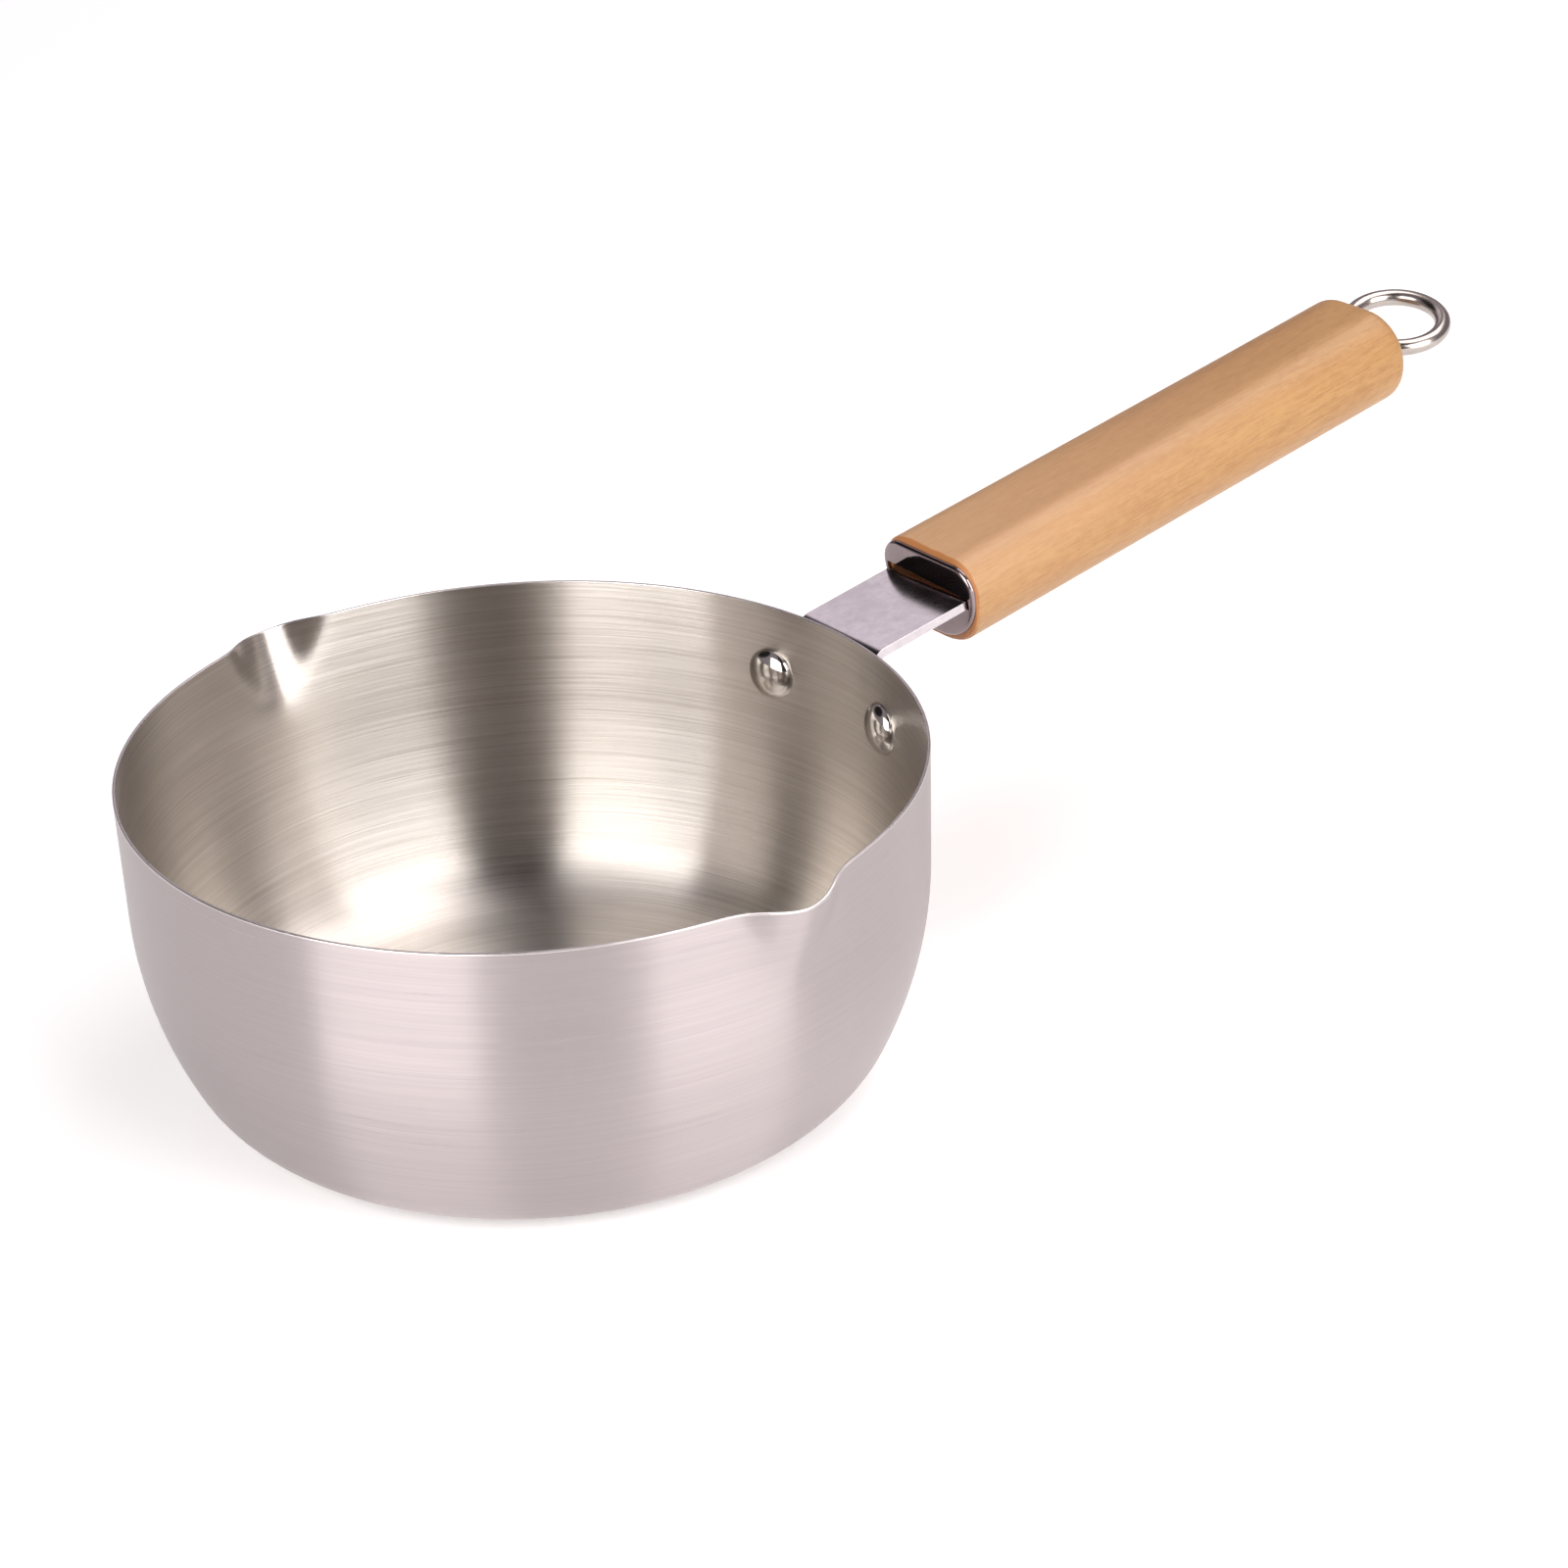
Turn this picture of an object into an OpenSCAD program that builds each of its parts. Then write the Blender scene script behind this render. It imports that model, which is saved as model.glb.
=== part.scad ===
// Two-spouted milk pan: a thin steel bowl with a riveted strap bracket, a wooden
// grip drawn on by a tie bolt, and a wire eye at the end to hang it by.
// The origin is the centre of the underside of the base. +X runs along the handle,
// the spouts point along -Y and +Y, and +Z is up.

/* [Bowl] */
// Inside diameter at the rim
rim_d = 160; // [140:1:180]
// Height from the table to the rim
bowl_h = 70.5; // [62:0.5:85]
// Thickness of the sheet
wall = 0.7; // [0.5:0.1:1.2]
// Radius of the tight curve between base and side
corner_r = 20; // [14:1:24]
// Angle that the tight curve turns through before the side begins
corner_turn = 64.5; // [55:0.5:70]
// Radius of the long curve of the side
side_r = 81; // [70:1:90]
// Outward lean of the wall at the rim, in degrees
wall_lean = 0.8; // [0.2:0.1:3]

/* [Spouts] */
// How far the lip of a spout stands out past the wall
spout_reach = 5.4; // [3:0.2:8]
// Radius of the trough pressed into the wall
spout_r = 14; // [10:0.5:16]
// Outward slope of the trough, in degrees
spout_slope = 16; // [12:1:22]
// Turn of the pair of spouts away from square to the handle, in degrees
spout_turn = 3; // [0:0.5:6]

/* [Bracket] */
// Thickness of the bracket plate
plate_t = 2; // [1.5:0.1:2.5]
// Width of the strap that carries the grip
strap_w = 24.5; // [18:0.5:26]
// Height of the strap's top face where it would meet the rim's outer edge
strap_top = 69; // [66:0.5:70]
// Upward tilt of the handle, in degrees
handle_tilt = 8.3; // [0:0.1:12]
// Inside radius of the bend between flange and strap
bend_r = 1.5; // [1:0.1:2]
// Width of the riveted flange
flange_w = 52; // [46:1:60]
// Height of the riveted flange
flange_h = 19; // [15:0.5:19]
// Radius of the flange's corners
flange_corner = 6; // [3:0.5:8]

/* [Rivets] */
// Angle of each rivet from the handle's centre plane
rivet_turn = 13; // [10:0.5:15]
// Height of the rivets
rivet_z = 55; // [54:0.5:57]
// Diameter of the shank
rivet_d = 5; // [4:0.5:6]
// Diameter of the head inside the bowl
head_d = 11.4; // [9:0.1:12]
// Height of the head inside the bowl
head_h = 2.9; // [2:0.1:3.5]
// Diameter of the set end outside
tail_d = 8; // [7:0.1:9]
// Height of the set end outside
tail_h = 1.4; // [1:0.1:2]

/* [Grip] */
// Distance from the rim to the front of the end plate, along the handle
plate_start = 26.2; // [22:0.2:32]
// Depth of the end plate
plate_depth = 1; // [0.8:0.1:2]
// Width of the end plate
plate_w = 28.5; // [27:0.5:28.5]
// Height of the end plate
plate_h = 18.7; // [18.5:0.1:19.5]
// Length of the wood
grip_len = 132.5; // [110:0.5:150]
// Width of the wood
grip_w = 29; // [29:0.2:32]
// Height of the wood at its far end
grip_h = 22.7; // [22.5:0.1:26]
// Fall of the flat on top of the wood, from its far end to its front
grip_fall = 1.5; // [0.5:0.1:2]
// Radius that rounds the far end of the wood
end_round = 3.4; // [1:0.2:5]

/* [Tie bolt and eye] */
// Diameter of the bolt's shank
bolt_d = 4; // [3:0.5:5]
// Width across the flats of the tie nut
nut_w = 8; // [7:0.5:8]
// Length of the tie nut
nut_len = 10; // [6:1:12]
// Radius of the eye, to the middle of the wire
eye_r = 10.6; // [9:0.1:13]
// Diameter of the eye's wire
eye_wire = 3.8; // [3:0.1:4]
// Roll of the eye about the handle, in degrees
eye_roll = 8; // [0:1:10]
// Height of the eye above the bolt's axis
eye_rise = 0.4; // [0:0.1:0.8]

/* [Hidden] */
$fn = 96;

// bowl profile: a flat base, a tight arc, a long arc, then a straight wall
rim_ro = rim_d / 2 + wall;
side_turn = 90 - wall_lean;
corner_dir = [sin(corner_turn), -cos(corner_turn)];
side_dir = [sin(side_turn), -cos(side_turn)];
arc_reach = corner_r * corner_dir.x + side_r * (side_dir.x - corner_dir.x);
wall_foot = corner_r * (1 + corner_dir.y) + side_r * (side_dir.y - corner_dir.y);
base_r = rim_ro - arc_reach - (bowl_h - wall_foot) * tan(wall_lean);
corner_c = [base_r, corner_r];
side_c = corner_c - (side_r - corner_r) * corner_dir;
function wall_r(z) = rim_ro - (bowl_h - z) * tan(wall_lean);

// spout trough
spout_axis_r = rim_ro + spout_reach - spout_r / cos(spout_slope);
spout_depth = 32;
spout_over = 10;

// bracket bend, seen from the side
bend_out = bend_r + plate_t;
bend_x = rim_ro + bend_out;
bend_s = (bend_out - bend_out * sin(handle_tilt)) / cos(handle_tilt);
bend_z = strap_top + bend_s * sin(handle_tilt) - bend_out * cos(handle_tilt);
bend_steps = 12;
leg_h = 3;
flange_drop = 0.8;
flange_top = bend_z - flange_drop;
flange_mid = flange_top - flange_h / 2;

// how far a cutting or trimming tool reaches past the wall, and the widest band it needs
tool_reach = 15;
band_turn = 25;
shank_in_dome = 0.8;

// how far a cut runs past the face that it opens
cut_over = 1;

// stations along the handle, measured from the rim
plate_face = 0.6;
plate_rim = 0.6;
plate_mid = -2.3;
plate_top_r = 5.7;
plate_low_r = 12.6;
slot_side = 0.6;
slot_gap = 1.2;
grip_start = plate_start + plate_depth;
grip_end = grip_start + grip_len;
grip_mid = -1.75;
grip_top_r = 10.4;
grip_low_r = 11.8;
bolt_axis = -plate_t / 2;
tang_len = 31;
nut_room = 2;
tang_end = grip_start + tang_len;
notch_len = nut_len + nut_room;
notch_start = tang_end - notch_len;
bore_d = nut_w / cos(30) + 0.2;
bore_end = tang_end + nut_room;
shank_clear = 0.2;
eye_sink = 1.4;
eye_s = grip_end + eye_r + eye_wire / 2 - eye_sink;
shank_start = notch_start + nut_room / 2;
shank_end = eye_s - eye_r;

// ---- helpers ----

// A quarter disc that rounds the corner of a section
module corner_pie(x, y, r, sx, sy) {
    translate([sx * x, sy * y])
        intersection() {
            circle(r = r);
            translate([min(sx, 0) * r, min(sy, 0) * r]) square(r);
        }
}

// A flat-sided section with one radius on its top corners and one on its lower ones
module section(w, h, r_top, r_low) {
    hw = w / 2;
    hh = h / 2;
    polygon([
        [hw, hh - r_top], [hw - r_top, hh], [r_top - hw, hh], [-hw, hh - r_top],
        [-hw, r_low - hh], [r_low - hw, -hh], [hw - r_low, -hh], [hw, r_low - hh]
    ]);
    for (sx = [-1, 1]) {
        corner_pie(hw - r_top, hh - r_top, r_top, sx, 1);
        corner_pie(hw - r_low, hh - r_low, r_low, sx, -1);
    }
}

// Stands a flat drawing up across the handle and pulls it along +X
module along_x(length) {
    rotate([90, 0, 90]) linear_extrude(height = length) children();
}

// Half of the bowl's outline, set in by a given thickness
module bowl_outline(inset) {
    p1 = corner_c + (corner_r - inset) * corner_dir;
    p2 = side_c + (side_r - inset) * side_dir;
    rim_r = rim_ro - inset / cos(wall_lean);
    intersection() {
        union() {
            polygon([[0, inset], [base_r, inset], p1, p2, [rim_r, bowl_h], [0, bowl_h]]);
            intersection() {
                translate(corner_c) circle(r = corner_r - inset);
                polygon([corner_c, corner_c - [0, 2 * corner_r], corner_c + 2 * corner_r * corner_dir]);
            }
            intersection() {
                translate(side_c) circle(r = side_r - inset);
                polygon([side_c, side_c + 2 * side_r * corner_dir, side_c + 2 * side_r * side_dir]);
            }
        }
        square([rim_ro, bowl_h]);
    }
}

// The bowl as a solid, set in by a given thickness
module bowl_solid(inset) {
    rotate_extrude() bowl_outline(inset);
}

// The two sloping troughs of the spouts, set in by a given thickness
module spout_troughs(inset) {
    for (turn = [-90, 90])
        rotate([0, 0, turn + spout_turn])
            translate([spout_axis_r, 0, bowl_h])
                rotate([0, spout_slope, 0])
                    translate([0, 0, -spout_depth])
                        cylinder(r = spout_r - inset, h = spout_depth + spout_over);
}

// Places its children on the line of one rivet, +X pointing out of the bowl
module at_rivet(side) {
    rotate([0, 0, side * rivet_turn]) translate([0, 0, rivet_z]) children();
}

// Holes for both rivets
module rivet_holes() {
    for (side = [-1, 1])
        at_rivet(side)
            translate([rim_ro - tool_reach, 0, 0])
                rotate([0, 90, 0]) cylinder(d = rivet_d, h = 2 * tool_reach);
}

// Places its children on the handle: +X along it from the rim, Z = 0 on the strap's top
module on_handle() {
    translate([rim_ro, 0, strap_top]) rotate([0, -handle_tilt, 0]) children();
}

// A band that follows the outside of the wall, from one thickness to another
module wall_band(t0, t1, z0, z1, half_turn) {
    rotate([0, 0, -half_turn])
        rotate_extrude(angle = 2 * half_turn)
            polygon([
                [wall_r(z0) + t0, z0], [wall_r(z0) + t1, z0],
                [wall_r(z1) + t1, z1], [wall_r(z1) + t0, z1]
            ]);
}

// ---- sub-parts ----

// Thin bowl with two pressed spouts
module pan_body() {
    color("lightsteelblue")
        difference() {
            union() {
                bowl_solid(0);
                spout_troughs(0);
            }
            bowl_solid(wall);
            spout_troughs(wall);
            translate([0, 0, bowl_h]) cylinder(r = rim_d, h = spout_depth);
            rivet_holes();
        }
}

// Points of a round stretch in the side view, from one angle to another
function arc(r, from, to) = [
    for (i = [0 : bend_steps])
        let (a = from + (to - from) * i / bend_steps)
            [bend_x + r * cos(a), bend_z + r * sin(a)]
];

// Leg, bend and strap, drawn in the side view and pulled across the handle
module bent_strap() {
    tip = [rim_ro + tang_end * cos(handle_tilt), strap_top + tang_end * sin(handle_tilt)];
    under = plate_t * [sin(handle_tilt), -cos(handle_tilt)];
    rotate([90, 0, 0])
        linear_extrude(height = strap_w, center = true)
            polygon(concat(
                [[rim_ro, bend_z - leg_h]],
                arc(bend_out, 180, 90 + handle_tilt),
                [tip, tip + under],
                arc(bend_r, 90 + handle_tilt, 180),
                [[rim_ro + plate_t, bend_z - leg_h]]
            ));
}

// Flange that is riveted to the wall, bend, strap and the notched tang inside the grip
module handle_bracket() {
    color("silver")
        difference() {
            union() {
                intersection() {
                    wall_band(0, plate_t, flange_top - flange_h, flange_top, band_turn);
                    translate([rim_ro - tool_reach, 0, flange_mid])
                        along_x(2 * tool_reach)
                            section(flange_w, flange_h, flange_corner, flange_corner);
                }
                bent_strap();
            }
            on_handle()
                translate([notch_start, -nut_w / 2, -2 * plate_t])
                    cube([notch_len + cut_over, nut_w, 4 * plate_t]);
            rivet_holes();
        }
}

// One rivet: domed head inside the bowl, shank, and set end outside
module rivet(side) {
    head_ball = (pow(head_d / 2, 2) + pow(head_h, 2)) / (2 * head_h);
    tail_ball = (pow(tail_d / 2, 2) + pow(tail_h, 2)) / (2 * tail_h);
    in_r = wall_r(rivet_z) - wall;
    out_r = wall_r(rivet_z) + plate_t;
    color("gainsboro") {
        intersection() {
            at_rivet(side) translate([in_r - head_h + head_ball, 0, 0]) sphere(r = head_ball);
            bowl_solid(wall);
        }
        intersection() {
            at_rivet(side) translate([out_r + tail_h - tail_ball, 0, 0]) sphere(r = tail_ball);
            wall_band(plate_t, plate_t + tail_d, rivet_z - tail_d, rivet_z + tail_d, band_turn);
        }
        at_rivet(side)
            translate([in_r - shank_in_dome, 0, 0])
                rotate([0, 90, 0]) cylinder(d = rivet_d, h = out_r - in_r + 1.5 * shank_in_dome);
    }
}

module rivet_left() {
    rivet(1);
}

module rivet_right() {
    rivet(-1);
}

// Shallow steel plate on the front of the wood, slotted for the strap
module ferrule_plate() {
    color("silver")
        on_handle()
            difference() {
                translate([plate_start, 0, plate_mid])
                    along_x(plate_depth) section(plate_w, plate_h, plate_top_r, plate_low_r);
                translate([plate_start + plate_face, 0, plate_mid])
                    along_x(plate_depth)
                        section(
                            plate_w - 2 * plate_rim, plate_h - 2 * plate_rim,
                            plate_top_r - plate_rim, plate_low_r - plate_rim
                        );
                translate([plate_start - cut_over, -strap_w / 2 - slot_side, -plate_t])
                    cube([plate_depth + 2 * cut_over, strap_w + 2 * slot_side, plate_t + slot_gap]);
            }
}

// Outline of the wood with its far corners rounded, for a given width
module grip_outline(width) {
    translate([grip_start, -width / 2]) square([grip_len - end_round, width]);
    translate([grip_start, end_round - width / 2]) square([grip_len, width - 2 * end_round]);
    for (side = [-1, 1])
        translate([grip_end - end_round, side * (width / 2 - end_round)]) circle(r = end_round);
}

// Everything below the sloping flat that is planed on top of the wood
module below_flat() {
    translate([grip_end, 0, grip_mid + grip_h / 2])
        rotate([0, -atan(grip_fall / grip_len), 0])
            translate([-2 * grip_len, -grip_w, -2 * grip_h])
                cube([3 * grip_len, 2 * grip_w, 2 * grip_h]);
}

// Wooden grip: saw slot for the tang, a bore for the nut and a long hole for the bolt
module wooden_grip() {
    color("burlywood")
        on_handle()
            difference() {
                intersection() {
                    translate([grip_start, 0, grip_mid])
                        along_x(grip_len) section(grip_w, grip_h, grip_top_r, grip_low_r);
                    translate([0, 0, grip_mid - grip_h])
                        linear_extrude(height = 2 * grip_h) grip_outline(grip_w);
                    translate([0, grip_w, grip_mid])
                        rotate([90, 0, 0]) linear_extrude(height = 2 * grip_w) grip_outline(grip_h);
                    below_flat();
                }
                translate([grip_start - cut_over, -strap_w / 2, -plate_t])
                    cube([bore_end - grip_start + cut_over, strap_w, plate_t]);
                translate([grip_start - cut_over, 0, bolt_axis])
                    rotate([0, 90, 0]) cylinder(d = bore_d, h = bore_end - grip_start + cut_over);
                translate([grip_start, 0, bolt_axis])
                    rotate([0, 90, 0]) cylinder(d = bolt_d + 2 * shank_clear, h = grip_len + cut_over);
                translate([eye_s, 0, bolt_axis + eye_rise])
                    rotate([eye_roll, 0, 0])
                        rotate_extrude() translate([eye_r, 0]) circle(d = eye_wire + 2 * shank_clear);
            }
}

// Hexagonal nut that sits in the tang's notch and takes the bolt
module tie_nut() {
    color("gray")
        on_handle()
            translate([notch_start, 0, bolt_axis])
                rotate([0, 90, 0])
                    difference() {
                        cylinder(d = nut_w / cos(30), h = nut_len, $fn = 6);
                        translate([0, 0, -cut_over]) cylinder(d = bolt_d, h = nut_len + 2 * cut_over);
                    }
}

// Tie bolt bent from one wire with its closed eye
module ring_bolt() {
    color("gainsboro")
        on_handle()
            union() {
                translate([shank_start, 0, bolt_axis])
                    rotate([0, 90, 0]) cylinder(d = bolt_d, h = shank_end - shank_start);
                translate([eye_s, 0, bolt_axis + eye_rise])
                    rotate([eye_roll, 0, 0])
                        rotate_extrude() translate([eye_r, 0]) circle(d = eye_wire);
            }
}

pan_body();
handle_bracket();
rivet_left();
rivet_right();
ferrule_plate();
wooden_grip();
tie_nut();
ring_bolt();
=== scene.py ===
import math

import bmesh
import bpy
import numpy as np
from mathutils import Matrix, Vector


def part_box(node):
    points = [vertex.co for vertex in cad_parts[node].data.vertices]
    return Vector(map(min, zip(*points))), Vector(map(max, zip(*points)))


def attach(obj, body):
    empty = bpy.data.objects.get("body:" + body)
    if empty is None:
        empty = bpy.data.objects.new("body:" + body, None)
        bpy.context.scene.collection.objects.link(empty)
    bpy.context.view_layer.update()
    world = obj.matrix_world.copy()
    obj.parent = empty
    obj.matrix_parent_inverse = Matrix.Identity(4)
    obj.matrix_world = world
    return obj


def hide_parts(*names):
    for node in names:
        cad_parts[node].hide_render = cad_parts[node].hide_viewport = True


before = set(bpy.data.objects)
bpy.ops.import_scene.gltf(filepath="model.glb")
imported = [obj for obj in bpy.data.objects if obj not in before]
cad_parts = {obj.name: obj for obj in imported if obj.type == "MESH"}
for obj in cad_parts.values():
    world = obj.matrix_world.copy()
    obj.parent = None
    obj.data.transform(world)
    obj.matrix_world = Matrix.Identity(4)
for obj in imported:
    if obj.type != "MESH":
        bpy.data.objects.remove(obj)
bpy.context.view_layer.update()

MM = 0.001

# ---- bowl: the outline of the CAD bowl, in metres ----
BOWL_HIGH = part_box("pan_body")[1]
RIM_R = BOWL_HIGH.x
RIM_Z = BOWL_HIGH.z
SHEET = 0.7 * MM
CORNER_R = 20 * MM
CORNER_TURN = math.radians(64.5)
SIDE_R = 81 * MM
WALL_LEAN = math.radians(0.8)
SIDE_TURN = math.pi / 2 - WALL_LEAN
EDGE_SQUARENESS = 0.6

# ---- spouts ----
SPOUT_ANGLES = (math.radians(-88), math.radians(94))
SPOUT_REACH = 4.8 * MM
SPOUT_CURVE = 10 * MM
SPOUT_SLOPE = math.tan(math.radians(16))
SPOUT_FLARE = 3.4 * MM
SPOUT_FADE = 30 * MM
SPOUT_SOFT = 0.2 * MM
LIP_DIP = 1.4 * MM
LIP_WIDTH = 8 * MM

# ---- handle: a frame whose X runs along it, with Z = 0 on the strap's top ----
STRAP_TOP = 69 * MM
TILT = math.radians(8.3)
HANDLE = Matrix.Translation((RIM_R, 0, STRAP_TOP)) @ Matrix.Rotation(-TILT, 4, "Y")

# ---- bracket ----
PLATE_T = 2 * MM
FLANGE_H = 19 * MM
LEG = 0.8 * MM
CUT_ROUND = 0.3 * MM
STRAP_W = 24.5 * MM
BEND_R = 1.5 * MM
FLANGE_W = 52 * MM
FLANGE_CORNER = 6 * MM
FILLET = 2.5 * MM
NOTCH_W = 8 * MM
NOTCH_START = 46.2 * MM
TANG_END = 58.2 * MM

# ---- rivets ----
RIVET_TURN = math.radians(13)
RIVET_Z = 55 * MM
HEAD_R = 5.7 * MM
HEAD_H = 2.9 * MM
SHANK_R = 2.5 * MM
TAIL_R = 4 * MM
TAIL_H = 1.4 * MM
SUNK = 0.25 * MM

# ---- end plate, grip and eye, along the handle ----
PLATE_START = 26.2 * MM
PLATE_DEPTH = 1 * MM
PLATE_W, PLATE_H = 28.5 * MM, 18.7 * MM
PLATE_TOP_R, PLATE_LOW_R = 5.7 * MM, 12.6 * MM
PLATE_MID = -2.3 * MM
PLATE_EDGE = 0.8 * MM
PLATE_SHEET = 0.6 * MM
GRIP_START = 27.2 * MM
GRIP_LEN = 132.5 * MM
GRIP_W, GRIP_H = 29 * MM, 22.7 * MM
GRIP_TOP_R, GRIP_LOW_R = 10.4 * MM, 11.8 * MM
GRIP_MID = -1.75 * MM
GRIP_FALL = 1.5 * MM
FRONT_TOP_R = 7.2 * MM
END_ROUND = 3.4 * MM
FRONT_INSET = 0.45 * MM
FRONT_LEN = 0.7 * MM
SLOT_GAP = 0.85 * MM
SLOT_LOW = 0.15 * MM
SLOT_SIDE = 0.6 * MM
SAW_LOW = 0.1 * MM
SAW_SIDE = 0.3 * MM
SLOT_TAPER = 0.55 * MM
BOLT_AXIS = -1 * MM
BOLT_R = 2 * MM
EYE_R = 10.6 * MM
WIRE_R = 1.9 * MM
EYE_S = 170.8 * MM
EYE_ROLL = math.radians(8)
EYE_RISE = 0.4 * MM

# ---- camera: where it stands, seen from the middle of the rim ----
CAM_AZIMUTH = -38.40
CAM_ELEVATION = 27.50
CAM_ROLL = 2.257
CAM_DISTANCE = 0.80
CAM_LENS = 92.83
AIM_RIGHT = 51.7 * MM
AIM_DOWN = 6.6 * MM
SENSOR = 36

# ---- mesh density, and the rounding allowed when lengths are compared ----
TINY = 1e-9
BASE_STEPS, CORNER_STEPS, SIDE_STEPS, WALL_STEPS = 22, 22, 24, 40
EDGE_STEPS = 8
FINE_STEP, EXTRA_STEP = 0.42, 0.9
FINE_ZONE = (math.radians(14), math.radians(26))
STRAP_SIDE_STEPS, NOTCH_STEPS, WING_STEPS = 5, 4, 7
RIVET_STEPS, DOME_STEPS = 64, 14
SECTION_STEPS = 12
PLATE_POINTS, GRIP_POINTS, GRIP_ROWS = 144, 176, 60
EYE_STEPS, WIRE_STEPS = 128, 32


# ======== mesh helpers ========

def smoothstep(value, low, high):
    t = np.clip((value - low) / (high - low), 0, 1)
    return t * t * (3 - 2 * t)


def new_piece(name, points, faces, place=None):
    """A smooth-shaded mesh object from points and faces, put in place by a matrix."""
    mesh = bpy.data.meshes.new(name)
    mesh.from_pydata([tuple(p) for p in points], [], faces)
    mesh.validate()
    mesh.polygons.foreach_set("use_smooth", [True] * len(mesh.polygons))
    piece = bpy.data.objects.new(name, mesh)
    bpy.context.scene.collection.objects.link(piece)
    if place is not None:
        piece.matrix_world = place
    return piece


def lattice_faces(rows, columns, wrap):
    """Quads between rows of points; wrap joins the last column to the first."""
    faces = []
    for row in range(rows - 1):
        for col in range(columns if wrap else columns - 1):
            a = row * columns + col
            b = row * columns + (col + 1) % columns
            faces.append((a, b, b + columns, a + columns))
    return faces


def fan(ring, centre, flip):
    """Triangles from a ring of point numbers to a centre."""
    turned = ring[1:] + ring[:1]
    if flip:
        return [(b, a, centre) for a, b in zip(ring, turned)]
    return [(a, b, centre) for a, b in zip(ring, turned)]


def arc_points(centre, radius, start, end, steps):
    """Points of an arc, both ends included."""
    angles = np.linspace(start, end, steps + 1)
    return [(centre[0] + radius * math.cos(a), centre[1] + radius * math.sin(a)) for a in angles]


def recalculate(piece):
    """Turns every face outwards."""
    work = bmesh.new()
    work.from_mesh(piece.data)
    bmesh.ops.recalc_face_normals(work, faces=work.faces)
    work.to_mesh(piece.data)
    work.free()


# ======== bowl ========

def bowl_outline():
    """The outside of the bowl as (radius, height) pairs, from the middle of the base to the rim."""
    corner = np.array([math.sin(CORNER_TURN), -math.cos(CORNER_TURN)])
    side = np.array([math.sin(SIDE_TURN), -math.cos(SIDE_TURN)])
    lean = math.tan(WALL_LEAN)
    first_ring = 1.5 * MM
    foot_z = CORNER_R * (1 + corner[1]) + SIDE_R * (side[1] - corner[1])
    reach = CORNER_R * corner[0] + SIDE_R * (side[0] - corner[0])
    base_r = RIM_R - reach - (RIM_Z - foot_z) * lean
    corner_c = np.array([base_r, CORNER_R])
    side_c = corner_c - (SIDE_R - CORNER_R) * corner
    down = -math.pi / 2
    points = [(r, 0.0) for r in np.linspace(first_ring, base_r, BASE_STEPS)[:-1]]
    points += arc_points(corner_c, CORNER_R, down, down + CORNER_TURN, CORNER_STEPS)[:-1]
    points += arc_points(side_c, SIDE_R, down + CORNER_TURN, down + SIDE_TURN, SIDE_STEPS)[:-1]
    top = RIM_Z - SHEET / 2
    points += [(RIM_R - (RIM_Z - z) * lean, z) for z in np.linspace(foot_z, top, WALL_STEPS)]
    return np.array(points)


def bowl_angles():
    """Angles round the bowl, close together at the spouts."""
    def step(angle):
        near = min(abs((angle - s + math.pi) % (2 * math.pi) - math.pi) for s in SPOUT_ANGLES)
        return math.radians(FINE_STEP + EXTRA_STEP * float(smoothstep(near, *FINE_ZONE)))

    angles = [-math.pi]
    while angles[-1] < math.pi:
        angles.append(angles[-1] + step(angles[-1]))
    angles = np.array(angles)
    return (angles * (2 * math.pi / (angles[-1] - angles[0])) + TINY)[:-1]


def spout_shape(angle, radius, height):
    """Outward push and downward dip of the sheet at the spouts."""
    push = np.zeros_like(angle)
    dip = np.zeros_like(angle)
    depth = RIM_Z - height
    flare = SPOUT_FLARE * (1 - smoothstep(depth, 0, SPOUT_FADE)) + SPOUT_SOFT
    for middle in SPOUT_ANGLES:
        turn = (angle - middle + math.pi) % (2 * math.pi) - math.pi
        across = RIM_R * turn
        curve = across ** 2 / 2 * (1 / SPOUT_CURVE - 1 / RIM_R)
        trough = SPOUT_REACH - depth * SPOUT_SLOPE - curve
        push += (trough + np.sqrt(trough ** 2 + flare ** 2)) / 2
        dip += LIP_DIP * np.exp(-(across / LIP_WIDTH) ** 2)
    fade = 1 - smoothstep(depth, SPOUT_FADE * 0.4, SPOUT_FADE)
    return push * fade * (radius > RIM_R * 0.8), dip * (1 - smoothstep(depth, 0, SPOUT_FADE * 0.6))


def bowl_surface(outline, angles):
    """Outside surface of the bowl: rows of points up the outline, columns round the axis."""
    angle, radius = np.meshgrid(angles, outline[:, 0])
    _, height = np.meshgrid(angles, outline[:, 1])
    push, dip = spout_shape(angle, radius, height)
    r = radius + push
    return np.stack([r * np.cos(angle), r * np.sin(angle), height - dip], axis=-1)


def surface_normals(surface):
    """Outward normals and upward directions of a wrapped grid of points."""
    around = np.roll(surface, -1, axis=1) - np.roll(surface, 1, axis=1)
    up = np.gradient(surface, axis=0)
    up /= np.linalg.norm(up, axis=-1, keepdims=True)
    normal = np.cross(around, up)
    normal /= np.linalg.norm(normal, axis=-1, keepdims=True)
    return normal, up


def cut_edge(outside, inside, normal, up):
    """Rows of points round the sheet's cut edge at the rim, from the outside to the inside."""
    middle = (outside + inside) / 2
    rows = []
    for turn in np.linspace(0, math.pi, EDGE_STEPS + 1)[1:-1]:
        lift = math.copysign(abs(math.sin(turn)) ** EDGE_SQUARENESS, math.sin(turn))
        side = math.copysign(abs(math.cos(turn)) ** EDGE_SQUARENESS, math.cos(turn))
        rows.append(middle + SHEET / 2 * (side * normal + lift * up))
    return np.array(rows)


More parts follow.
